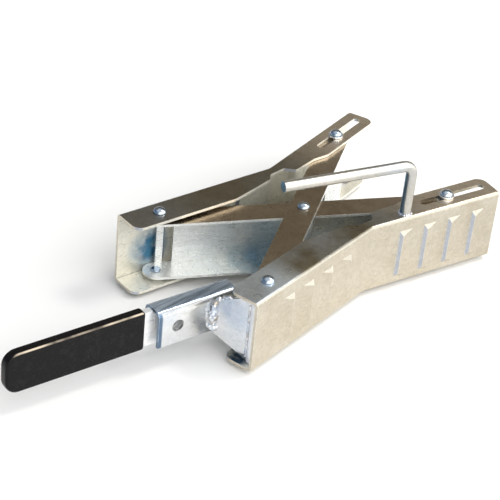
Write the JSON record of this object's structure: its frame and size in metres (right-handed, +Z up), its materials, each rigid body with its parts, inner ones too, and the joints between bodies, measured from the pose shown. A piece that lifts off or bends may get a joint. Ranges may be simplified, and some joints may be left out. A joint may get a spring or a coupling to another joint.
{
  "type": "scissor wheel chock",
  "caption": "Scissor wheel chock with two bent channel jaws, crossed channel arms, a gripped lever on a hinged bracket and a bent carrying rod.",
  "frame": {"origin": "on the floor below the middle of the overall box at rest", "axes": "+X along the jaws away from the grip, +Y from the front jaw to the rear jaw, +Z up"},
  "size_m": [0.5497, 0.2088, 0.1404],
  "materials": {
    "galvanised_steel": "galvanised sheet, satin with soft reflections",
    "arm_zinc": "zinc-plated sheet, satin",
    "bright_zinc": "bright bluish zinc plating",
    "rod_zinc": "dull zinc-plated round rod",
    "black_vinyl": "glossy dipped vinyl"
  },
  "bodies": {
    "front": {"front_jaw": "galvanised_steel", "front_hinge_rivet_top": "bright_zinc", "front_hinge_rivet_bottom": "bright_zinc", "carrying_rod": "rod_zinc"},
    "arm_b": {"arm_b": "arm_zinc", "centre_rivet_top": "bright_zinc", "centre_rivet_bottom": "bright_zinc", "rear_slider_rivet_top": "bright_zinc", "rear_slider_rivet_bottom": "bright_zinc", "rear_slider_washer": "bright_zinc"},
    "arm_a": {"arm_a": "arm_zinc", "front_slider_rivet_top": "bright_zinc", "front_slider_rivet_bottom": "bright_zinc", "front_slider_washer": "bright_zinc", "rear_hinge_spacer_top": "bright_zinc", "rear_hinge_spacer_bottom": "bright_zinc", "front_slider_spacer_top": "bright_zinc", "front_slider_spacer_bottom": "bright_zinc"},
    "rear": {"rear_jaw": "galvanised_steel", "rear_hinge_rivet_top": "bright_zinc", "rear_hinge_rivet_bottom": "bright_zinc"},
    "lever": {"lever_pin": "rod_zinc", "gusset_plate": "bright_zinc", "lever_bracket": "bright_zinc", "lever_bar": "bright_zinc", "grip": "black_vinyl", "bar_rivet": "bright_zinc", "bar_spacer_front": "bright_zinc", "bar_spacer_back": "bright_zinc"}
  },
  "joints": [
    {"name": "scissor_spread", "type": "hinge", "parent": "front", "child": "arm_b", "pos_m": [-0.03348, -0.0732, 0.0429], "axis": [0, 0, 1], "range_deg": [-6.8, 9.5]},
    {"name": "arm_cross", "type": "hinge", "parent": "arm_b", "child": "arm_a", "pos_m": [0.09024, 0, 0.0429], "axis": [0, 0, 1], "range_deg": [-16.48, 11.81]},
    {"name": "rear_jaw_hinge", "type": "hinge", "parent": "arm_a", "child": "rear", "pos_m": [-0.03348, 0.0732, 0.0429], "axis": [0, 0, 1], "range_deg": [-6.8, 9.5]},
    {"name": "lever_swing", "type": "hinge", "parent": "front", "child": "lever", "pos_m": [-0.05812, -0.08522, 0.0429], "axis": [0, 0, 1], "range_deg": [0, 100]}
  ],
  "couplings": [
    {"joint": "arm_cross", "follows": "scissor_spread", "ratio": -1.73},
    {"joint": "rear_jaw_hinge", "follows": "scissor_spread", "ratio": 1}
  ]
}
